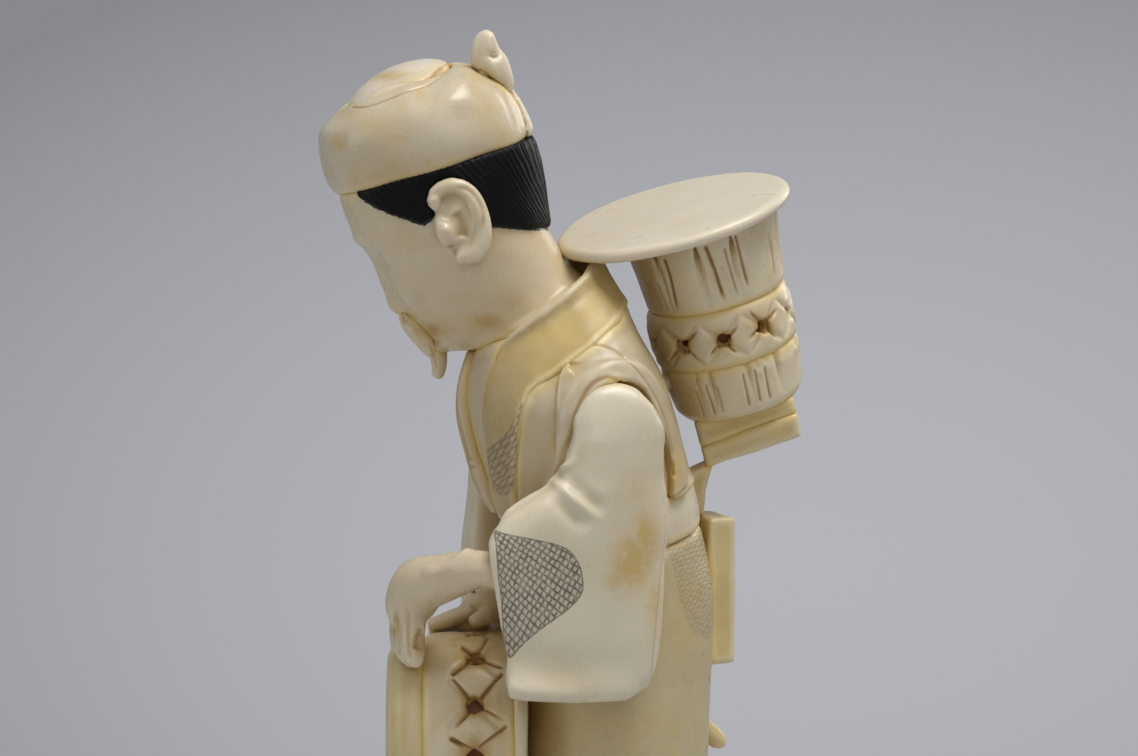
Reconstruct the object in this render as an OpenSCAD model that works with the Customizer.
// Sectional okimono: a standing basket pedlar, carved in pieces that are pegged together.
// Millimetres. Z is up and the figure faces -Y, so +X is on the figure's own left.
// The origin is the middle of the base's underside.

/* [Base] */
// Length of the oval base, front to back
base_len = 52; // [46:1:60]
// Width of the oval base
base_wid = 42; // [38:1:50]
// Thickness of the base
base_h = 5.5; // [4.5:0.5:8]

/* [Legs and robe] */
// Thickness of a sandal sole
sole_h = 1.6; // [1.2:0.1:2.4]
// Length of a foot
foot_len = 19; // [16:1:22]
// Distance between the two feet, middle to middle
stance = 13; // [12:0.5:16]
// Height of the robe's hem above the base
hem_up = 26; // [22:1:32]
// Length of the robe from its hem to the sash
robe_len = 56.4; // [50:0.2:60]
// Width of the robe at its hem
hem_w = 29; // [27:1:33]
// Depth of the robe at its hem, front to back
hem_d = 24; // [22:1:28]

/* [Torso] */
// Height of the sash
sash_h = 5.5; // [4:0.1:6.5]
// Width of the body at the waist
waist_w = 24.4; // [22:0.5:26]
// Depth of the body at the waist, front to back
waist_d = 22.6; // [20:0.5:24]
// Height of the torso from the sash to the collar
torso_h = 23.1; // [21:0.1:26]
// How far the collar is in front of the waist
torso_reach = 8.4; // [6:0.5:10]
// Depth of the chest, front to back
chest_d = 23.6; // [22:0.5:26]
// Width between the two shoulder faces
shoulder_w = 25.6; // [24:0.2:28]
// Radius of the body at the collar
collar_r = 8.3; // [7.8:0.1:9.5]
// Thickness of the sleeveless coat
coat_t = 0.9; // [0.6:0.1:1.3]
// Width of the rolled edge round the coat's armhole
lip_w = 2.3; // [1.5:0.1:3]
// How far the rolled edge stands out
lip_t = 0.6; // [0.3:0.1:1]
// Thickness of the collar band
collar_t = 1.4; // [1:0.1:1.8]
// Width of the collar band
collar_w = 4.6; // [3.6:0.2:5.4]
// How much wider the collar band is at the neck than down the chest
collar_flare = 2.6; // [0:0.2:3]

/* [Sleeves and hands] */
// Height of a sleeve from its lower edge to the shoulder
sleeve_len = 36.5; // [34:0.5:40]
// Front to back length of a sleeve at its lower edge
sleeve_run = 16.6; // [14:0.2:19]
// Thickness of a sleeve at its lower edge
sleeve_t = 7; // [6:0.5:8.5]
// Thickness of the cloth round a sleeve's opening
cloth_t = 1.1; // [0.8:0.1:1.5]
// Radius of a forearm
wrist_r = 2.2; // [1.9:0.1:2.3]
// How far the left sleeve's mouth is slanted, as a share of its thickness
cuff_slant = 0.6; // [0:0.05:0.7]

/* [Head] */
// Height of the head from chin to crown
head_h = 30; // [27:0.5:33]
// How far the face looks down, in degrees
head_pitch = 33; // [20:1:40]
// How far the face turns to the figure's right, in degrees
head_turn = 30; // [0:1:40]
// How far the head leans over to its left side, in degrees
head_roll = 5; // [0:1:8]
// Thickness of the hair
hair_t = 0.6; // [0.4:0.1:0.9]
// How much fuller the hair is at the back of the head
hair_full = 0.7; // [0:0.1:1.2]
// Height of the cloth cap
cap_h = 12; // [10:0.5:14]
// How far the cap stands out from the head
cap_over = 1.3; // [0.8:0.1:2]
// Radius of the plug that closes the cap's crown
plug_r = 6.4; // [5:0.2:7]
// Height of the domed crown over its edge
crown_h = 2.1; // [1:0.1:3]

/* [Back pack] */
// Radius of the lid
lid_r = 14.3; // [12:0.1:15]
// Thickness of the lid
lid_t = 1.3; // [1:0.1:2]
// Radius of the top hoop at its upper edge
hoop_r = 9.9; // [8.6:0.1:10.5]
// Height of the top hoop
hoop_h = 10.1; // [8:0.1:11]
// Height of the pierced hoop
pierced_h = 6.9; // [6:0.1:8]
// Height of the lower hoop
low_hoop_h = 6.6; // [5:0.1:7.5]
// Number of diamonds round the pierced hoop
diamonds = 10; // [8:1:12]
// How far the pack leans towards the figure's head, in degrees
pack_lean = 17; // [12:1:22]
// How far the block and the slab are turned on the pack's axis, in degrees
pack_turn = 16; // [0:1:30]
// Length of the block and the slab
block_len = 11.9; // [10:0.1:13]
// How much narrower the top hoop is at its lower edge
hoop_taper = 1.7; // [0.5:0.1:2.5]
// How much narrower the lower hoop is at its foot
foot_taper = 3; // [1.5:0.1:3.5]
// Thickness of the pierced walls
pierced_wall = 2; // [1.5:0.1:2.5]

/* [Front basket] */
// Radius of the front basket
basket_r = 11.4; // [10:0.1:12]
// Length of the front basket's pierced body
basket_len = 10.9; // [9.5:0.1:12]
// Number of diamonds round the front basket
basket_diamonds = 11; // [9:1:13]
// Height of the front basket's axis below the sash
basket_drop = 21.9; // [20:0.1:25]

/* [Joinery] */
// Radius of the ivory pegs
peg_r = 1; // [0.8:0.1:1.2]
// Radial clearance of a peg in its hole
peg_gap = 0.04; // [0.02:0.01:0.08]
// Gap between two pieces that only lie against each other
seat_gap = 0.03; // [0.02:0.01:0.06]

/* [Hidden] */

ivory = [0.93, 0.87, 0.73];
warm_ivory = [0.87, 0.77, 0.57];
black_stain = [0.07, 0.07, 0.08];
dark_core = [0.45, 0.22, 0.07];

leg_bury = 5;
leg_r = 3.4;
waist_y = 1.9;
cloth_gap = seat_gap + 0.09;
top_pitch = 33;
far = 200;

hem_z = base_h + hem_up;
robe_top = hem_z + robe_len;
waist_z = robe_top + sash_h;
waist = [0, waist_y, waist_z];
collar_at = waist + [0, -torso_reach, torso_h];
arm_x = shoulder_w / 2;

basket_turn = 18;
basket_at = [-0.8, waist_y - hem_d / 2 + 2.4, robe_top - basket_drop];
rim_t = 1.3;
basket_foot_h = 4.4;
basket_peg_len = 14;

// Value between the rows of a table at t from 0 to 1, on a smooth curve through every row
function row_at(rows, t) =
    let (n = len(rows) - 1,
         s = min(max(t * n, 0), n - 0.000001),
         i = floor(s),
         f = s - i,
         a = rows[max(i - 1, 0)],
         b = rows[i],
         c = rows[i + 1],
         d = rows[min(i + 2, n)])
    0.5 * (2 * b + (c - a) * f + (2 * a - 5 * b + 4 * c - d) * f * f + (3 * b - a - 3 * c + d) * f * f * f);

function power(v, p) = sign(v) * pow(abs(v), p);

// Point of a body section. A row is [z, y, half width, front depth, back depth, squareness, tilt].
// The angle a runs from the figure's left through its back, and off pushes the point outwards.
function body_point(row, a, off = 0) =
    let (p = 2 / row[5],
         depth = sin(a) < 0 ? row[3] : row[4],
         v = (depth + off) * power(sin(a), p))
    [(row[2] + off) * power(cos(a), p), row[1] + v * cos(row[6]), row[0] + v * sin(row[6])];

function body_ring(row, sides, off = 0) = [for (k = [0:sides - 1]) body_point(row, 360 * k / sides, off)];

// Closed skin over a stack of rings that all have the same number of points
module skin(rings) {
    n = len(rings[0]);
    last = len(rings) - 1;
    faces = concat(
        [[for (k = [0:n - 1]) k]],
        [for (i = [0:last - 1], k = [0:n - 1]) [i * n + k, (i + 1) * n + k, (i + 1) * n + (k + 1) % n]],
        [for (i = [0:last - 1], k = [0:n - 1]) [i * n + k, (i + 1) * n + (k + 1) % n, i * n + (k + 1) % n]],
        [[for (k = [n - 1:-1:0]) last * n + k]]);
    polyhedron(points = [for (r = rings) each r], faces = faces, convexity = 6);
}

// Smooth body through a few rows
module body_of(rows, rings, sides, from = 0, to = 1, off = 0) {
    skin([for (i = [0:rings]) body_ring(row_at(rows, from + (to - from) * i / rings), sides, off)]);
}

// Closed plate between an inner and an outer grid of points with the same rows and columns
module plate(inner, outer) {
    m = len(inner);
    n = len(inner[0]);
    half = m * n;
    last_i = m - 1;
    last_k = n - 1;
    quads = concat(
        [for (i = [0:last_i - 1], k = [0:last_k - 1])
            [i * n + k, (i + 1) * n + k, (i + 1) * n + k + 1, i * n + k + 1]],
        [for (i = [0:last_i - 1], k = [0:last_k - 1])
            [half + i * n + k, half + i * n + k + 1, half + (i + 1) * n + k + 1, half + (i + 1) * n + k]],
        [for (i = [0:last_i - 1]) [i * n, half + i * n, half + (i + 1) * n, (i + 1) * n]],
        [for (i = [0:last_i - 1])
            [i * n + last_k, (i + 1) * n + last_k, half + (i + 1) * n + last_k, half + i * n + last_k]],
        [for (k = [0:last_k - 1]) [k, k + 1, half + k + 1, half + k]],
        [for (k = [0:last_k - 1])
            [last_i * n + k, half + last_i * n + k, half + last_i * n + k + 1, last_i * n + k + 1]]);
    faces = [for (q = quads) each [[q[2], q[1], q[0]], [q[3], q[2], q[0]]]];
    polyhedron(points = concat([for (r = inner) each r], [for (r = outer) each r]), faces = faces,
               convexity = 8);
}

function unit(v) = v / norm(v);

// Round limb through points, each [x, y, z, radius], with a flattening across it
function limb_ring(pts, i, sides, flat, up) =
    let (n = len(pts) - 1,
         a = pts[max(i - 1, 0)],
         b = pts[min(i + 1, n)],
         along = unit([b[0] - a[0], b[1] - a[1], b[2] - a[2]]),
         u = unit(cross(along, up)),
         v = cross(along, u),
         c = [pts[i][0], pts[i][1], pts[i][2]])
    [for (k = [0:sides - 1])
        c + pts[i][3] * (cos(360 * k / sides) * u + flat * sin(360 * k / sides) * v)];

module limb(rows, rings, sides = 8, flat = 1, up = [0.13, 0.21, 1]) {
    pts = [for (i = [0:rings]) row_at(rows, i / rings)];
    skin([for (i = [0:rings]) limb_ring(pts, i, sides, flat, up)]);
}

module mirror_x() {
    children();
    mirror([1, 0, 0]) children();
}

// Peg with its middle at the origin, and the hole that takes it
module peg(len) {
    translate([0, 0, -len / 2]) cylinder(r = peg_r, h = len, $fn = 24);
}

module peg_hole(len) {
    translate([0, 0, -len / 2 - peg_gap]) cylinder(r = peg_r + peg_gap, h = len + 2 * peg_gap, $fn = 24);
}

// Base

foot_peg_len = 7;
base_rows = [for (r = [[0, 0.8], [0.14, 0], [0.5, 0.2], [0.8, 1], [1, 2.8]])
    [base_h * r[0], 0, base_wid / 2 - r[1], base_len / 2 - r[1], base_len / 2 - r[1], 2.2, 0]];

module at_feet() {
    for (side = [-1, 1])
        translate([side * stance / 2, waist_y, 0]) children();
}

module base() {
    color(ivory) difference() {
        body_of(base_rows, 6, 48);
        at_feet() translate([0, 0, base_h]) peg_hole(foot_peg_len);
    }
}

// Legs and sandals

sole_top = base_h + sole_h + 2 * seat_gap;

module sole_outline() {
    hull() {
        translate([0, -foot_len * 0.36]) circle(r = 3.6, $fn = 32);
        translate([0, foot_len * 0.16]) circle(r = 3, $fn = 32);
    }
}

module sandals() {
    color(warm_ivory) at_feet() difference() {
        translate([0, -1.5, base_h + seat_gap]) linear_extrude(sole_h) sole_outline();
        translate([0, 0, base_h]) peg_hole(foot_peg_len);
    }
}

// Rows of a leg with its foot: [z, y, half width, front depth, back depth, squareness, tilt]
leg_rows = [
    [sole_top, -0.2, 2.9, foot_len * 0.5, 3.2, 2.3, 0],
    [sole_top + 1.2, -0.2, 3.1, foot_len * 0.5, 3.5, 2.3, 0],
    [sole_top + 2.6, 0, 2.8, foot_len * 0.34, 3.3, 2.2, 0],
    [sole_top + 4.6, 0.2, 2.5, 3.4, 2.9, 2, 0],
    [sole_top + 8, 0.3, 2.6, 2.7, 2.8, 2, 0],
    [sole_top + 15, 0.4, leg_r, leg_r, leg_r + 0.5, 2, 0],
    [hem_z + leg_bury, 0.3, leg_r, leg_r, leg_r, 2, 0]];

module legs() {
    color(ivory) at_feet() difference() {
        body_of(leg_rows, 14, 14);
        translate([0, 0, base_h]) peg_hole(foot_peg_len);
    }
}

module foot_pegs() {
    color(warm_ivory) at_feet() translate([0, 0, base_h]) peg(foot_peg_len);
}

// Robe below the sash

robe_rows = [
    [hem_z, waist_y + 0.3, hem_w / 2, hem_d / 2 - 0.5, hem_d / 2 - 0.6, 2.3, 0],
    [hem_z + robe_len * 0.2, waist_y + 0.3, hem_w / 2 - 0.9, hem_d / 2 - 1.4, hem_d / 2 - 0.7, 2.3, 1],
    [hem_z + robe_len * 0.45, waist_y + 0.3, hem_w / 2 - 1.6, hem_d / 2 - 1.8, hem_d / 2 - 0.6, 2.2, 3],
    [hem_z + robe_len * 0.7, waist_y + 0.2, hem_w / 2 - 1.9, hem_d / 2 - 1.6, hem_d / 2 + 0.5, 2.2, 8],
    [hem_z + robe_len * 0.86, waist_y, waist_w / 2 + 0.4, waist_d / 2 - 0.4, waist_d / 2 + 1.8, 2.2, 12],
    [robe_top, waist_y, waist_w / 2, waist_d / 2, waist_d / 2, 2.2, 15]];
waist_peg_len = 16;

module robe_skin(off = 0) {
    body_of(robe_rows, 14, 36, 0, 1, off);
}

module robe() {
    color(ivory) difference() {
        robe_skin();
        // Hollow under the hem that the legs go up into
        at_feet() translate([0, 0.3, hem_z - 1])
            cylinder(r = leg_r + 0.6, h = leg_bury + 1 + seat_gap, $fn = 48);
        translate([0, waist_y, robe_top]) rotate([waist_tilt, 0, 0]) peg_hole(waist_peg_len);
        basket_place() peg_hole(basket_peg_len);
        // Flat seat for the basket's rim, and for the hanging end of the sash
        basket_place() translate([0, 0, -seat_gap]) cylinder(r = basket_r + 4, h = 12, $fn = 64);
        translate([-tail_w, tail_y - seat_gap, tail_top - tail_len - 1]) cube([tail_w * 2, 8, tail_len + 2]);
        tail_peg_place() peg_hole(tail_peg_len);
    }
}

// Sash

waist_tilt = 15;
sash_rows = [
    [robe_top + seat_gap, waist_y, waist_w / 2 + 0.25, waist_d / 2 + 0.2, waist_d / 2, 2.2, waist_tilt],
    [robe_top + sash_h / 2, waist_y, waist_w / 2 + 0.5, waist_d / 2 + 0.4, waist_d / 2 - 0.4, 2.2, waist_tilt],
    [waist_z - seat_gap, waist_y, waist_w / 2 + 0.25, waist_d / 2 + 0.2, waist_d / 2 - 1.2, 2.2, waist_tilt]];

module sash() {
    color(warm_ivory) difference() {
        body_of(sash_rows, 4, 36);
        translate([0, waist_y, robe_top]) rotate([waist_tilt, 0, 0]) peg_hole(waist_peg_len);
    }
}

module waist_peg() {
    color(warm_ivory) translate([0, waist_y, robe_top]) rotate([waist_tilt, 0, 0]) peg(waist_peg_len);
}

// Hanging end of the sash behind the robe

tail_len = 17.5;
tail_w = 8.4;
tail_t = 3.2;
tail_peg_len = 8;
tail_top = robe_top + 3.1;
tail_y = waist_y + waist_d / 2 + 0.6;
tail_peg_z = robe_top - 4;

module tail_peg_place() {
    translate([0, tail_y - 0.5, tail_peg_z]) rotate([90, 0, 0]) children();
}

module sash_tail() {
    color(ivory) difference() {
        translate([-tail_w / 2, tail_y, tail_top - tail_len]) cube([tail_w, tail_t, tail_len]);
        tail_peg_place() peg_hole(tail_peg_len);
    }
}

// Torso

torso_rows = [
    [0, 0, waist_w / 2, waist_d / 2, waist_d / 2 - 1.9, 2.2, waist_tilt],
    [torso_h * 0.18, -torso_reach * 0.32, waist_w / 2 + 1, chest_d / 2 - 0.7, chest_d / 2 - 1.1, 2.2, 20],
    [torso_h * 0.42, -torso_reach * 0.58, arm_x + 2.4, chest_d / 2 - 0.9, chest_d / 2 - 0.8, 2.3, 26],
    [torso_h * 0.66, -torso_reach * 0.79, arm_x + 2.6, chest_d / 2 - 1.2, chest_d / 2 - 2.1, 2.3, 31],
    [torso_h * 0.84, -torso_reach * 0.92, arm_x - 0.8, chest_d / 2 - 1.6, chest_d / 2 - 2.4, 2.1, top_pitch],
    [torso_h, -torso_reach, collar_r - 0.6, collar_r, collar_r, 2, top_pitch]];

function torso_point(t, a, off) = waist + body_point(row_at(torso_rows, t), a, off);
torso_sides = 36;
torso_rings = 14;
neck_r = 6.4;
neck_deep = 6;

module neck_place() {
    translate(collar_at) rotate([top_pitch, 0, 0]) children();
}

// Outline of an armhole seen from the side, its two depths at the top and below
armhole_top = [waist_y - torso_reach * 0.42, waist_z + torso_h * 0.468];
armhole_mid = [waist_y - torso_reach * 0.26, waist_z + torso_h * 0.2];

module armhole_outline(off) {
    hull() {
        translate(armhole_top) circle(r = 5 + off, $fn = 40);
        translate(armhole_mid) circle(r = 6.6 + off, $fn = 40);
        translate([armhole_mid[0], waist_z - 5]) circle(r = 6.6 + off, $fn = 40);
    }
}

// Bar through the armhole, from the shoulder face outwards
module armhole(off = 0, from = 0) {
    translate([arm_x + from, 0, 0]) rotate([90, 0, 90]) linear_extrude(12) armhole_outline(off);
}

module torso_skin(off = 0) {
    translate(waist) body_of(torso_rows, torso_rings, torso_sides, 0, 1, off);
}

module torso() {
    color(ivory) difference() {
        torso_skin();
        mirror_x() armhole();
        translate([0, waist_y, robe_top]) rotate([waist_tilt, 0, 0]) peg_hole(waist_peg_len);
        neck_place() translate([0, 0, -neck_deep]) cylinder(r = neck_r + peg_gap, h = far, $fn = 64);
        mirror_x() shoulder_place() peg_hole(shoulder_peg_len);
        pack_peg_place() peg_hole(pack_peg_len);
        pack_bite();
    }
}

// Sleeveless coat, open down the front, with a rolled edge round each armhole

// Angle of the coat's front edge at each share of the torso's height
coat_front = [
    [0, -66], [0.25, -63], [0.41, -58], [0.58, -55], [0.72, -51], [0.81, -45], [0.9, -35], [0.95, -20]];
coat_cols = 26;
coat_top = 0.93;

function coat_grid(cols, rings, off) =
    [for (i = [0:rings]) let (t = coat_top * i / rings, from = lookup(t, coat_front))
        [for (k = [0:cols]) torso_point(t, from + (180 - 2 * from) * k / cols, off)]];

function side_grid(from, to, cols, rings, off) =
    [for (i = [0:rings]) [for (k = [0:cols])
        torso_point(coat_top * i / rings, from + (to - from) * k / cols, off)]];

module lips() {
    for (start = [-62, 122]) intersection() {
        plate(side_grid(start, start + 120, 12, 10, coat_t - 0.3),
              side_grid(start, start + 120, 12, 10, coat_t + lip_t));
        mirror_x() armhole(lip_w, -arm_x * 0.6);
    }
}

module coat() {
    color(ivory) difference() {
        union() {
            plate(coat_grid(coat_cols, torso_rings, cloth_gap), coat_grid(coat_cols, torso_rings, coat_t));
            lips();
        }
        mirror_x() armhole(0, -2);
        plate(collar_grid(-0.5, 0.1), collar_grid(coat_t + 2, 0.1));
        pack_peg_place() peg_hole(pack_peg_len);
        pack_bite();
    }
}

// Collar band round the neck and down the chest, left side over right

collar_path = [
    [0.08, -78], [0.25, -75], [0.41, -70], [0.58, -67], [0.72, -63], [0.81, -58], [0.9, -49],
    [0.95, -34], [0.975, 0], [0.98, 45], [0.98, 90]];
collar_steps = 36;
collar_sides = 2;

function collar_line(s) = s <= 0.5
    ? row_at(collar_path, s * 2)
    : let (m = row_at(collar_path, (1 - s) * 2)) [m[0], 180 - m[1]];

// Point on the torso, or above its top edge for t over 1
function collar_point(t, a, off) =
    torso_point(min(t, 1), a, off) + max(t - 1, 0) * torso_h * [0, -sin(top_pitch), cos(top_pitch)];

// The band widens on its outer side only, from the chest to the neck
function flare_at(s) =
    let (f = min(max((min(s, 1 - s) - 0.05) / 0.22, 0), 1)) collar_flare * f * f * (3 - 2 * f);

function collar_row(s, off, more) =
    let (m = collar_line(s),
         n = collar_line(s + 0.01),
         dt = (n[0] - m[0]) * torso_h,
         da = (n[1] - m[1]) * PI / 180 * 12,
         l = norm([dt, da]))
    [for (j = [-collar_sides:collar_sides])
        let (w = (collar_w / 2 + more + (j > 0 ? flare_at(s) : 0)) * j / collar_sides)
        collar_point(m[0] - da / l * w / torso_h, m[1] + dt / l * w / 12 * 180 / PI, off)];

function collar_grid(off, more) =
    [for (i = [0:collar_steps]) collar_row(i / collar_steps * 0.98 + 0.005, off, more)];

module collar() {
    color(ivory) difference() {
        plate(collar_grid(cloth_gap, 0), collar_grid(collar_t, 0));
        head_envelope();
        torso_skin(seat_gap);
    }
}

// Sleeves. The left one runs forward to the wrist, the right one hangs almost straight.

shoulder_z = armhole_top[1] - 1;
shoulder_y = armhole_top[0];
shoulder_peg_len = 8;
sleeve_top = armhole_top[1] + 4.7;
sleeve_low = sleeve_top - sleeve_len;
sleeve_x = arm_x + sleeve_t / 2 - 0.8;

module shoulder_place() {
    translate([arm_x, shoulder_y, shoulder_z]) rotate([0, 90, 0]) children();
}

// Row of a sleeve: share of its height, front, back, half thickness, squareness
function sleeve_row(r, y) =
    let (mid = (r[1] + r[2]) / 2, half = (r[2] - r[1]) / 2)
    [sleeve_low + sleeve_len * r[0], y + mid, sleeve_t / 2 + r[3], half, half, r[4], 0];

left_sleeve_rows = [for (r = [
    [0, -0.87, 0.15, -0.7, 5], [0.03, -0.93, 0.22, -0.1, 5], [0.13, -0.97, 0.28, 0.1, 4.4],
    [0.27, -1.03, 0.32, 0.3, 3.6], [0.43, -1.11, 0.33, 0.5, 3], [0.52, -1.08, 0.35, 0.6, 2.8],
    [0.59, -0.93, 0.35, 0.6, 2.6], [0.64, -0.73, 0.35, 0.6, 2.5], [0.7, -0.5, 0.33, 0.5, 2.4],
    [0.8, -0.34, 0.29, 0.3, 2.3], [0.89, -0.28, 0.18, -0.2, 2.2], [0.96, -0.2, 0.06, -1, 2.1],
    [1, -0.1, -0.02, -1.8, 2]]) sleeve_row([r[0], r[1] * sleeve_run, r[2] * sleeve_run, r[3], r[4]], shoulder_y)];

right_sleeve_rows = [for (r = [
    [0, -0.5, 0.13, -0.7, 3.6], [0.03, -0.55, 0.2, -0.1, 3.6], [0.13, -0.57, 0.27, 0.1, 3.2],
    [0.27, -0.58, 0.31, 0.3, 3], [0.43, -0.56, 0.33, 0.5, 2.8], [0.56, -0.54, 0.35, 0.6, 2.6],
    [0.66, -0.52, 0.35, 0.6, 2.5], [0.74, -0.48, 0.33, 0.6, 2.4], [0.81, -0.4, 0.29, 0.3, 2.3],
    [0.89, -0.28, 0.18, -0.2, 2.2], [0.96, -0.2, 0.06, -1, 2.1], [1, -0.1, -0.02, -1.8, 2]])
    sleeve_row([r[0], r[1] * sleeve_run, r[2] * sleeve_run, r[3], r[4]], shoulder_y)];

// Front points move back towards the body's side, so that the outer cloth reaches further forward
function slanted(p, row, slant) =
    let (f = max(0, (row[1] - p[1]) / row[3])) [p[0], p[1] + slant * (row[2] - p[0]) * f * f, p[2]];

module sleeve_skin(rows, rings, sides, slant) {
    skin([for (i = [0:rings]) let (row = row_at(rows, i / rings))
        [for (p = body_ring(row, sides)) slanted(p, row, slant)]]);
}

module sleeve_block(rows, slant = 0) {
    difference() {
        translate([sleeve_x, 0, 0]) sleeve_skin(rows, 18, 28, slant);
        translate([arm_x + seat_gap - far, -far / 2, 0]) cube(far);
        // Room for the body and the coat everywhere but in the armhole
        difference() {
            torso_skin(coat_t + lip_t + cloth_gap);
            armhole(-seat_gap, -4);
        }
        shoulder_place() peg_hole(shoulder_peg_len);
    }
}

// Slot in a sleeve's front edge with its middle at the origin, running along Z
module sleeve_slot(deep, down, up) {
    translate([0, 0, -deep]) linear_extrude(deep + 12) hull() {
        translate([0, -down]) circle(r = sleeve_t / 2 - cloth_t - 0.2, $fn = 32);
        translate([0, up]) circle(r = sleeve_t / 2 - cloth_t + 0.3, $fn = 32);
    }
}

cuff_turn = 12;
wrist_in = 0.8;
left_wrist = [sleeve_x + 0.4, shoulder_y - sleeve_run * 0.76, sleeve_low + sleeve_len * 0.4];
right_wrist = [-sleeve_x + 1, shoulder_y - sleeve_run * 0.4, sleeve_low + sleeve_len * 0.27];
wrist_peg_len = 6;

module left_wrist_place() {
    translate(left_wrist) rotate([90, 0, 0]) rotate([0, -cuff_turn, 0]) children();
}

module left_wrist_peg_place() {
    left_wrist_place() translate([0, 0, -wrist_in]) children();
}

module right_wrist_place() {
    translate(right_wrist) rotate([90, 0, 90]) children();
}

module left_sleeve() {
    color(ivory) difference() {
        sleeve_block(left_sleeve_rows, cuff_slant);
        left_wrist_place() sleeve_slot(seat_gap, sleeve_len * 0.25, 0.9);
        left_wrist_peg_place() peg_hole(wrist_peg_len);
    }
}

module right_sleeve() {
    color(ivory) difference() {
        mirror([1, 0, 0]) sleeve_block(right_sleeve_rows);
        right_wrist_place() translate([0, 0, -1]) cylinder(r = wrist_r + 0.5, h = 12, $fn = 48);
        right_wrist_place() peg_hole(wrist_peg_len);
    }
}

module shoulder_pegs() {
    color(warm_ivory) mirror_x() shoulder_place() peg(shoulder_peg_len);
}

// Hands. Both rest on the front basket.

// Point over the basket: along its axis from the rim, to its left side, and above its skin
function on_basket(u, v, h) =
    basket_at + [0, 0, sqrt(basket_r * basket_r - v * v) + h]
    + u * [-sin(basket_turn), -cos(basket_turn), 0]
    + v * [cos(basket_turn), -sin(basket_turn), 0];

function with_r(p, r) = [p[0], p[1], p[2], r];

hand_u = basket_len + 2.6;
across = [cos(basket_turn), -sin(basket_turn), 0.09];

// Room for the basket under the hands, so that they rest on its skin
module basket_room() {
    basket_place() translate([0, 0, -1]) cylinder(r = basket_r + seat_gap, h = basket_len + 8, $fn = 96);
}

cuff_way = [-sin(cuff_turn), -cos(cuff_turn), 0];
basket_way = [-sin(basket_turn), -cos(basket_turn), 0];

function blend(a, b, t) = a * (1 - t) + b * t;

module left_hand() {
    bend = on_basket(hand_u - 0.8, 9, 11.3);
    knuckle = on_basket(hand_u + 0.4, 7.7, 7.3);
    color(ivory) difference() {
        union() {
            // Forearm and back of the hand in one sweep, down to the middle of the fingers
            limb([
                with_r(left_wrist, wrist_r),
                with_r(left_wrist + 0.9 * cuff_way, wrist_r),
                with_r(left_wrist + 1.8 * cuff_way, wrist_r - 0.1),
                with_r(blend(left_wrist, bend, 0.22) + [0.65, -1.5, 0.8], wrist_r - 0.12),
                with_r(blend(left_wrist, bend, 0.45) + [0.2, -1.2, 0.7], wrist_r + 0.35),
                with_r(blend(left_wrist, bend, 0.72) + [0.2, -1, 0.35], wrist_r + 0.6),
                with_r(bend, wrist_r + 1.1),
                with_r(knuckle, wrist_r + 0.8),
                with_r(on_basket(hand_u + 0.9, 7, 4.9), wrist_r - 0.3),
                with_r(on_basket(hand_u + 0.9, 6.8, 3.4), wrist_r - 1.3)], 18, 14, 1.05, across);
            for (f = [0:3]) {
                out = 1.5 - f;
                root = knuckle - out * 1.45 * across + out * 0.5 * basket_way + [0, 0, -0.6];
                limb([
                    with_r(root, 1.5),
                    with_r(root + [0, 0, -2.2] + 0.3 * basket_way, 1.45),
                    with_r(root + [0, 0, -4.2] + 0.25 * basket_way, 1.3),
                    with_r(root + [0, 0, -5.8], 1.1),
                    with_r(root + [0, 0, -6.7], 0.6)], 6, 8, 1, across);
            }
            limb([
                with_r(bend - 2 * across + [0, 0.9, -1.4], 1.5),
                with_r(on_basket(hand_u - 0.7, 3.4, 4.4), 1.35),
                with_r(on_basket(hand_u - 0.1, 3.2, 2.4), 1.15),
                with_r(on_basket(hand_u + 0.5, 3, 1.1), 0.8)], 5, 8, 1, across);
        }
        left_wrist_peg_place() peg_hole(wrist_peg_len);
        basket_room();
    }
}

module right_hand() {
    palm = on_basket(5.2, -5.6, 3.5);
    color(ivory) difference() {
        union() {
            limb([
                with_r(right_wrist, wrist_r),
                with_r(right_wrist + [3.4, -0.4, -0.2], wrist_r),
                with_r(palm + [-1.2, 1.6, 0.5], wrist_r + 0.3),
                with_r(palm + [0.3, -0.8, -0.3], wrist_r + 0.4),
                with_r(palm + [0.3, -2.6, -1], wrist_r - 0.2),
                with_r(palm + [0.2, -3.8, -1.4], wrist_r - 0.9)], 12, 12, 0.9, [0.1, -0.1, 1]);
            for (f = [0:3]) {
                side = -6.9 + 1.5 * f;
                limb([
                    with_r(on_basket(6.4, side, 2.6), 0.9),
                    with_r(on_basket(8.2, side, 2.2), 1),
                    with_r(on_basket(10.4, side, 1.3), 0.9),
                    with_r(on_basket(11.9, side, 0.95), 0.75)], 5, 8, 1, [0.1, -0.1, 1]);
            }
            limb([
                with_r(palm + [1.2, 0.6, -0.6], 1.2),
                with_r(on_basket(5, -1.2, 1.9), 1.05),
                with_r(on_basket(6.8, 0.2, 1.3), 0.8)], 4, 8, 1, [0.1, -0.1, 1]);
        }
        right_wrist_place() peg_hole(wrist_peg_len);
        basket_room();
    }
}

module wrist_pegs() {
    color(warm_ivory) {
        left_wrist_peg_place() peg(wrist_peg_len);
        right_wrist_place() peg(wrist_peg_len);
    }
}

// Head. Its own frame has the ears' level at z = 0, the face towards -Y, and the neck's pivot below.

neck_len = head_h * 0.515;
neck_set = 2.2;
hh = head_h / 30;

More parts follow.
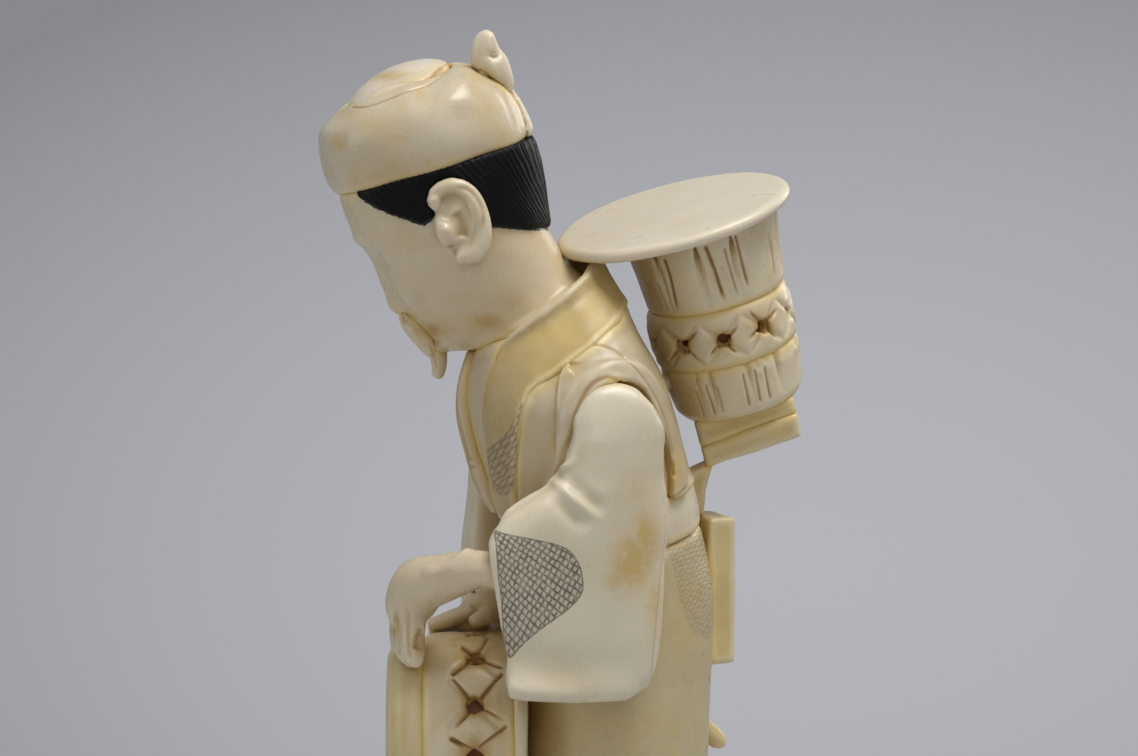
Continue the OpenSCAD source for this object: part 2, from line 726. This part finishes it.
head_rows = hh * [
    [-21, 2.6, 7.1, 7.8, 6.4, 2, 0],
    [-17.5, 2.2, 7.1, 8, 6.5, 2, 0],
    [-14.6, 1.2, 7.1, 9.6, 7.1, 2, 0],
    [-12.8, 0.4, 7.2, 11.2, 7.5, 2.1, 0],
    [-9, 0, 8.1, 11.3, 7.9, 2.1, 0],
    [-5, 0, 9.2, 11.2, 8.8, 2.1, 0],
    [-1, 0, 9.9, 11.1, 10.5, 2.1, 0],
    [3, 0, 10.2, 11.4, 12, 2.1, 0],
    [7, 0, 10.2, 11.1, 12.2, 2.1, 0],
    [11, 0.2, 9, 9.6, 10.8, 2.1, 0]];
// Squareness and tilt must not scale with the head
function head_row(t) = let (r = row_at(head_rows, t)) [r[0], r[1], r[2], r[3], r[4], r[5] / hh, 0];

// Features of the face: [level, angle from the front, height, spread up and down, spread round]
face_bumps = [
    [-3.8, 0, 1.5, 2.2, 6], [-6.2, 0, 2.1, 1.5, 7], [-0.6, 0, 0.9, 2.4, 6],
    [3.4, 18, 0.7, 1.3, 16], [3.4, -18, 0.7, 1.3, 16],
    [0.2, 24, -0.9, 1.7, 11], [0.2, -24, -0.9, 1.7, 11],
    [-10.4, 0, 0.8, 1.2, 14], [-13, 0, 0.5, 1.2, 16],
    [-4.4, 40, 0.6, 2.6, 16], [-4.4, -40, 0.6, 2.6, 16]];

function bell(v) = exp(-v * v);
function face_height(z, a, i = 0) = i >= len(face_bumps) ? 0
    : let (b = face_bumps[i], d = (a > 90 ? a - 360 : a) + 90)
      hh * b[2] * bell((z / hh - b[0]) / b[3]) * bell((d - b[1]) / b[4]) + face_height(z, a, i + 1);

function head_point(t, a, off = 0) =
    let (r = head_row(t)) body_point(r, a, off + face_height(r[0], a));

module head_place() {
    translate(collar_at) rotate([0, 0, -head_turn]) rotate([head_pitch, 0, 0])
        translate([0, -neck_set, neck_len]) rotate([0, head_roll, 0]) children();
}

rim_at = [0, 0.5 * hh, 6 * hh];
rim_tilt = -17;

module rim_place() {
    translate(rim_at) rotate([rim_tilt, 0, 0]) children();
}

head_sides = 40;
head_rings = 24;
ear_at = [10 * hh, 2 * hh, -1.4 * hh];

// Round rim of the outer ear, and the plate inside it
module ear(more = 0) {
    translate(ear_at) rotate([-8, 0, 12]) scale(hh) {
        limb([[0, -1.9, 3, 0.7 + more], [0.7, -1.2, 4.3, 0.85 + more], [1, 1, 4.4, 0.9 + more],
              [1, 2.6, 2.6, 0.9 + more], [0.9, 2.8, 0, 0.85 + more], [0.7, 2, -2.6, 0.9 + more],
              [0.4, 0.2, -4.3, 1.1 + more], [0, -1.5, -3.6, 0.9 + more]], 14, 8, 1, [1, 0.1, 0.1]);
        limb([[-0.6, 0.4, 4, 1.2 + more], [-0.3, 0.6, 2, 2.2 + more], [-0.3, 0.5, -1, 2.2 + more],
              [-0.5, 0, -4, 1.2 + more]], 6, 10, 0.6, [1, 0.1, 0.1]);
        if (more == 0)
            limb([[0.2, -2.2, 1.6, 0.6], [0.6, -2, 0.2, 0.9], [0.2, -1.8, -1.8, 0.6]], 4, 8, 1, [1, 0.1, 0.1]);
    }
}

// Space that the neck and head take, with a little room round them
module head_envelope() {
    neck_place() cylinder(r = neck_r, h = 1, $fn = 24);
    head_place() head_skin(0.1);
}

module head_skin(off = 0) {
    skin([for (i = [0:head_rings])
        [for (k = [0:head_sides - 1]) head_point(i / head_rings, 360 * k / head_sides, off)]]);
}

module head() {
    color(ivory) difference() {
        union() {
            head_place() {
                head_skin();
                mirror_x() ear();
            }
        }
        head_place() rim_place() translate([-far / 2, -far / 2, -seat_gap]) cube(far);
        neck_place() translate([-far / 2, -far / 2, seat_gap - far]) cube(far);
        head_place() rim_place() peg_hole(cap_peg_len);
        lid_room();
    }
    color(ivory) neck_place() translate([0, 0, seat_gap - neck_deep])
        cylinder(r = neck_r, h = neck_deep + 1, $fn = 64);
}

cap_peg_len = 6;

// Hair: a stained plate that follows the head from temple to temple

hair_from = -36;
hair_cols = 36;
hair_rows = 5;
hair_edge = [[-36, 7.5], [-22, 4.2], [-8, 0.9], [-2, 0.5], [5, 3.8], [15, 3.8], [18, -2.8], [34, -4.3],
    [60, -6.6], [90, -7.8]];

function at_angle(table, a) = lookup(a <= 90 ? a : 180 - a, table) * hh;

function head_t(z) = lookup(z / hh, [for (i = [0:60]) [head_row(i / 60)[0] / hh, i / 60]]);

function hair_point(a, s, off) =
    let (low = at_angle(hair_edge, a),
         high = rim_at[2] + 1.2 - (body_point(head_row(head_t(rim_at[2])), a)[1] - rim_at[1]) * tan(-rim_tilt),
         full = off > hair_t / 2 ? hair_full * sin(180 * s) * bell((a - 90) / 55) : 0)
    head_point(head_t(low + (high - low) * s), a, off + full);

module hair() {
    grid = function (off)
        [for (i = [0:hair_rows]) [for (k = [0:hair_cols])
            hair_point(hair_from + (180 - 2 * hair_from) * k / hair_cols, i / hair_rows, off)]];
    color(black_stain) difference() {
        head_place() plate(grid(cloth_gap + 0.03), grid(hair_t));
        head_place() mirror_x() ear(0.08);
        head_place() mirror_x() translate(ear_at + [-3, 0.6, 0.6]) rotate([0, 90, 0]) linear_extrude(6)
            scale([3.9 * hh, 2.7 * hh]) circle(r = 1, $fn = 32);
        head_place() rim_place() translate([-far / 2, -far / 2, -seat_gap]) cube(far);
    }
}

// Beard: two long moustache strands and a goatee that hangs from the chin

module beard() {
    color(ivory) difference() {
        beard_shape();
        plate(collar_grid(-0.5, 0.1), collar_grid(collar_t + 0.1, 0.1));
    }
}

module beard_shape() {
    head_place() difference() {
        scale(hh) {
            limb([[0, -10.2, -11, 1.3], [0, -11, -12, 1.3], [0, -11.4, -13, 1.1], [0, -11.8, -14.1, 0.95],
                  [0, -12.4, -15, 0.85], [0, -13.2, -15.7, 0.6]], 9, 10, 0.8, [1, 0.1, 0.1]);
            mirror_x() limb([[0.9, -12, -7.4, 0.8], [2.7, -11.7, -8.6, 1], [3.6, -11.3, -10.2, 1],
                  [3.8, -11.2, -11.6, 0.85], [3.7, -11.3, -12.9, 0.5]], 8, 8, 0.8, [1, 0.3, 0.1]);
        }
        head_skin(seat_gap);
    }
}

// Cap

cap_half = 10.2 * hh + cap_over;
cap_front = 10.8 * hh + cap_over;
cap_back = 12.2 * hh + cap_over * 0.4;
cap_rows = [
    [0, 0, cap_half - 0.9, cap_front - 0.7, cap_back - 0.5, 2.1, 0],
    [cap_h * 0.1, 0, cap_half, cap_front, cap_back, 2.1, 0],
    [cap_h * 0.38, -0.1, cap_half + 0.3, cap_front + 0.2, cap_back - 0.2, 2.1, 0],
    [cap_h * 0.62, -0.3, cap_half - 0.7, cap_front - 0.6, cap_back - 1.4, 2.1, 0],
    [cap_h * 0.77, -0.7, plug_r + 2.5, plug_r + 3, plug_r + 2.7, 2, 4],
    [cap_h * 0.86, -1, plug_r + 0.4, plug_r + 0.7, plug_r + 0.3, 2, 6],
    [cap_h * 0.89, -1.2, 3, 3, 3, 2, 6],
    [cap_h * 0.9, -1.2, 1, 1, 1, 2, 6]];
plug_deep = 2;
plug_tilt = 7;

module plug_place() {
    translate([0, -1.1, cap_h * 0.85]) rotate([plug_tilt, plug_tilt, 0]) children();
}

module cap_place() {
    head_place() rim_place() children();
}

module cap_skin(off = 0) {
    body_of(cap_rows, 12, 36, 0, 1, off);
}

module cap() {
    color(ivory) cap_place() difference() {
        cap_skin();
        plug_place() translate([0, 0, -plug_deep]) cylinder(r = plug_r, h = plug_deep + 6, $fn = 64);
        peg_hole(cap_peg_len);
        knot_peg_place() peg_hole(knot_peg_len);
    }
}

module crown_plug() {
    color(warm_ivory) cap_place() plug_place() translate([0, 0, seat_gap - plug_deep])
        rotate_extrude($fn = 64) polygon([[0, 0], [plug_r - peg_gap, 0], [plug_r - peg_gap, plug_deep],
            [plug_r * 0.9, plug_deep + crown_h * 0.28], [plug_r * 0.72, plug_deep + crown_h * 0.6],
            [plug_r * 0.45, plug_deep + crown_h * 0.88], [plug_r * 0.2, plug_deep + crown_h * 0.98],
            [0, plug_deep + crown_h]]);
}

// Knot of the cap's cloth at the back

knot_at = [0, cap_back * 0.8, cap_h * 0.8];
knot_peg_len = 3.6;

module knot_peg_place() {
    translate(knot_at) rotate([-38, 0, 0]) children();
}

// The upper end stands up like a leaf, the lower end hangs down the back of the cap to its rim
function on_knot(y, z, r) = [0, knot_at[1] + y * hh, knot_at[2] + z * hh, r * hh];

module cap_knot() {
    color(ivory) cap_place() difference() {
        union() {
            limb([on_knot(-1, -1.3, 1.2), on_knot(-0.1, 0.5, 1.9), on_knot(0.25, 2.1, 1.8),
                  on_knot(0.9, 3.3, 1.3), on_knot(1.6, 4, 0.4)], 9, 10, 0.7, [1, 0.1, 0.1]);
            limb([on_knot(-0.5, 1.6, 1.2), on_knot(0.6, 0.1, 1.9), on_knot(1.2, -1.6, 1.5),
                  on_knot(1.8, -3.3, 0.8)], 8, 10, 0.8, [1, 0.1, 0.1]);
            limb([on_knot(1, -2.4, 1), on_knot(1.6, -4.6, 1.6), on_knot(2, -7, 1.9), on_knot(2.1, -8.8, 1.9),
                  on_knot(1.9, -9.5, 1.4)], 8, 10, 0.45, [0.1, 1, 0.3]);
        }
        cap_skin(seat_gap);
        translate([-far / 2, -far / 2, -far]) cube(far);
        knot_peg_place() peg_hole(knot_peg_len);
    }
}

module knot_peg() {
    color(warm_ivory) cap_place() knot_peg_place() peg(knot_peg_len);
}

// Pack on the back. Its own frame has the axis of the hoops on Z and the lid's top at z = 0.

lid_shift = 2.9;
pack_at = collar_at + [1.5, 19.2, 12.2];

module pack_place() {
    translate(pack_at) rotate([pack_lean, 6, 0]) children();
}

hoop_top = -lid_t - seat_gap;
hoop_low = hoop_top - hoop_h;
pierced_top = hoop_low - seat_gap;
pierced_low = pierced_top - pierced_h;
low_top = pierced_low - seat_gap;
low_low = low_top - low_hoop_h;
block_top = low_low - seat_gap;
block_h = 3.2;
block_low = block_top - block_h;
slab_top = block_low - seat_gap;
slab_h = 2.6;
low_shift = 0.4;
rod_len = -slab_top + slab_h * 0.5 - lid_t * 0.5;

module rod_hole() {
    translate([0, 0, -lid_t * 0.5 - rod_len]) cylinder(r = peg_r + peg_gap, h = rod_len, $fn = 24);
}

// Room for the lid's edge where it lies against the neck
module lid_room() {
    pack_place() translate([0, -lid_shift, -lid_t - seat_gap])
        cylinder(r = lid_r + seat_gap, h = lid_t + 2 * seat_gap, $fn = 96);
}

module pack_lid() {
    color(ivory) pack_place() difference() {
        translate([0, -lid_shift, -lid_t]) rotate_extrude($fn = 96) polygon(concat(
            [[0, 0], [lid_r - lid_t, 0]],
            [for (a = [-60:30:90]) [lid_r - lid_t / 2 + lid_t / 2 * cos(a), lid_t / 2 + lid_t / 2 * sin(a)]],
            [[0, lid_t]]));
        rod_hole();
    }
}

// Slat lines cut down a hoop: [angle in degrees, depth]
slat_lines = [[-76, 0.25], [-70, 0.3], [-58, 0.6], [-24, 0.6], [-16, 0.3], [-8, 0.3], [4, 0.6],
              [34, 0.3], [41, 0.4], [58, 0.6], [84, 0.6], [92, 0.3], [100, 0.3], [112, 0.6],
              [146, 0.3], [153, 0.3], [166, 0.6], [196, 0.6], [204, 0.3], [212, 0.3], [226, 0.6], [256, 0.3]];

module slats(r, low, high, turn) {
    for (l = slat_lines)
        rotate([0, 0, l[0] + turn]) translate([r, 0, low - 1]) rotate([0, 0, 45])
            translate([-l[1] * 0.7, -l[1] * 0.7, 0]) cube([l[1] * 1.4, l[1] * 1.4, high - low + 2]);
}

module pack_hoop() {
    color(ivory) pack_place() difference() {
        rotate_extrude($fn = 96) polygon([[0, hoop_low], [hoop_r - hoop_taper - 0.4, hoop_low],
            [hoop_r - hoop_taper + 0.2, hoop_low + 0.6], [hoop_r - hoop_taper + 0.6, hoop_low + hoop_h * 0.45],
            [hoop_r - 0.5, hoop_top - 1], [hoop_r - 0.4, hoop_top], [0, hoop_top]]);
        slats(hoop_r - 1.1, hoop_low, hoop_top, 0);
        rod_hole();
    }
}

// Barrel hoop with its middle at z = 0, pierced at the side corners of a row of diamonds.
// The row's middle is at z = mid, and band is its height.
module pierced_hoop(r, h, count, wall, mid, band) {
    step = 360 / count;
    wide = r * step / 2 * PI / 180;
    lean = atan(wide / (band / 2));
    run = norm([wide, band / 2]) * 0.9;
    hole = band * 0.3;
    difference() {
        rotate_extrude($fn = 96) polygon([[r - wall, -h / 2], [r - 0.9, -h / 2], [r - 0.25, -h / 2 + 0.7],
            [r, -h * 0.2], [r, h * 0.2], [r - 0.25, h / 2 - 0.7], [r - 0.9, h / 2], [r - wall, h / 2]]);
        for (k = [0:count - 1]) rotate([0, 0, step * k])
            translate([r - wall - 1, 0, mid]) rotate([45, 0, 0])
                translate([0, -hole / 2, -hole / 2]) cube([wall + 2, hole, hole]);
        // Grooves from each hole to the row's edges, which leave the diamonds standing between them
        for (k = [0:count - 1], side = [-1, 1], up = [-1, 1])
            rotate([0, 0, step * (k + side * 0.25)]) translate([r, 0, mid + up * band / 4])
                rotate([-up * side * lean, 0, 0]) rotate([0, 0, 45])
                    translate([-0.4, -0.4, -run / 2]) cube([0.8, 0.8, run]);
    }
}

module pack_pierced_hoop() {
    color(ivory) pack_place() translate([0, -low_shift, (pierced_top + pierced_low) / 2])
        rotate([0, 0, 180 / diamonds])
            pierced_hoop(hoop_r - 1.1, pierced_h, diamonds, pierced_wall, 0, pierced_h * 0.8);
}

module pack_core() {
    color(dark_core) pack_place() difference() {
        translate([0, -low_shift, pierced_low])
            cylinder(r = hoop_r - 1.1 - pierced_wall - seat_gap, h = pierced_h, $fn = 64);
        rod_hole();
    }
}

module pack_low_hoop() {
    color(ivory) difference() {
        pack_place() difference() {
            translate([0, -low_shift, 0]) {
                rotate_extrude($fn = 96) polygon([[0, low_low], [hoop_r - foot_taper, low_low],
                    [hoop_r - foot_taper + 0.8, low_low + 0.9],
                    [hoop_r - 1.5, low_top - 1.4], [hoop_r - 1.7, low_top], [0, low_top]]);
            }
            translate([0, -low_shift, 0]) slats(hoop_r - 1.7, low_low, low_top, 20);
            rod_hole();
        }
        pack_peg_place() peg_hole(pack_peg_len);
    }
}

// Height of the slab's underside at a share of its length
function slab_low(u) = slab_top - slab_h + 0.2 + (block_h * 0.4 - 0.5) * (u + 0.5);

// Thick plate under the hoops. Its side outline runs in shares of its length, and in heights.
module wedge(wid, outline) {
    rotate([0, 0, -pack_turn]) translate([-wid / 2, -low_shift, 0]) rotate([90, 0, 90]) linear_extrude(wid)
        polygon([for (p = outline) [p[0] * block_len, p[1]]]);
}

module pack_block() {
    color(ivory) pack_place() difference() {
        wedge(block_len * 0.85, [[-0.5, block_top], [0.5, block_top], [0.5, block_top - block_h * 0.6],
            [-0.5, block_low]]);
        rod_hole();
    }
}

module pack_slab() {
    color(ivory) pack_place() difference() {
        wedge(block_len * 0.92, [[-0.5, slab_top], [0.5, slab_top + block_h * 0.4],
            [0.5, slab_low(0.5)], [-0.5, slab_low(-0.5)]]);
        rod_hole();
    }
}

module pack_rod() {
    color(warm_ivory) pack_place() translate([0, 0, -lid_t * 0.5 - rod_len + peg_gap])
        cylinder(r = peg_r, h = rod_len - 2 * peg_gap, $fn = 24);
}

pack_peg_len = 7;

module pack_peg_place() {
    pack_place() translate([0, -hoop_r + 1.5, low_top - peg_r - 0.4]) rotate([90, 0, 0]) children();
}

// Room for the hoops where they lie against the back
module pack_bite() {
    pack_place() translate([0, 0, low_low]) cylinder(r = hoop_r - 0.4 + seat_gap, h = -low_low, $fn = 64);
}

// Post between the sash and the slab

module pack_post() {
    color(ivory) difference() {
        translate([-1.2, tail_y, tail_top]) rotate([90, 0, 90]) linear_extrude(2.4)
            polygon([[-1.6, seat_gap], [0.3, seat_gap], [0.5, 3], [1.2, 6], [1.2, 20], [-1.8, 20], [-1.8, 4]]);
        torso_skin(coat_t + 2 * seat_gap);
        translate([0, seat_gap + 0.02, seat_gap]) sash();
        pack_place() wedge(far, [[-2, far], [2, far], [2, slab_low(2) - seat_gap], [-2, slab_low(-2) - seat_gap]]);
    }
}

module pack_peg() {
    color(warm_ivory) pack_peg_place() peg(pack_peg_len);
}

// Front basket. Its own frame has its axis on Z, with the rim's outer face at z = 0.

module basket_place() {
    translate(basket_at) rotate([0, 0, -basket_turn]) rotate([90, 0, 0]) children();
}

module basket() {
    color(ivory) basket_place() translate([0, 0, rim_t + basket_len / 2 + seat_gap]) rotate([0, 0, 22])
        pierced_hoop(basket_r, basket_len, basket_diamonds, pierced_wall, -basket_len * 0.06, basket_len * 0.62);
}

module basket_core() {
    color(dark_core) basket_place() translate([0, 0, rim_t + seat_gap]) difference() {
        cylinder(r = basket_r - pierced_wall - seat_gap, h = basket_len, $fn = 64);
        peg_hole(basket_peg_len);
    }
}

module basket_rim() {
    color(ivory) basket_place() difference() {
        rotate_extrude($fn = 96) polygon([[0, 0], [basket_r - 0.7, 0], [basket_r - 0.2, 0.4],
            [basket_r - 0.2, rim_t], [0, rim_t]]);
        peg_hole(basket_peg_len);
    }
}

module basket_foot() {
    color(ivory) basket_place() translate([0, 0, rim_t + basket_len + 2 * seat_gap])
        rotate_extrude($fn = 96) polygon([[0, 0], [basket_r - 0.9, 0], [basket_r - 0.5, basket_foot_h * 0.3],
            [basket_r - 0.9, basket_foot_h * 0.65], [basket_r - 2, basket_foot_h * 0.92],
            [basket_r - 3, basket_foot_h], [0, basket_foot_h]]);
}

module basket_peg() {
    color(warm_ivory) basket_place() peg(basket_peg_len);
}

// Small toggle that hangs behind the robe

module toggle() {
    color(ivory) difference() {
        toggle_shape();
        robe_skin(seat_gap);
    }
}

module toggle_shape() {
    translate([0, waist_y + hem_d / 2 - 0.1, robe_top - 23.4])
        limb([[0, 0.3, 1.4, 0.5], [0, 1, 0.4, 1], [0, 2.4, -1, 1.1], [0, 3.4, -1.4, 0.6]], 6, 8, 1, [1, 0.1, 0.1]);
}

base();
sandals();
legs();
foot_pegs();
robe();
sash();
sash_tail();
torso();
coat();
collar();
left_sleeve();
right_sleeve();
shoulder_pegs();
left_hand();
right_hand();
wrist_pegs();
head();
hair();
beard();
cap();
crown_plug();
cap_knot();
knot_peg();
pack_lid();
pack_hoop();
pack_pierced_hoop();
pack_core();
pack_low_hoop();
pack_block();
pack_slab();
pack_rod();
pack_post();
pack_peg();
basket();
basket_core();
basket_rim();
basket_foot();
basket_peg();
waist_peg();
toggle();
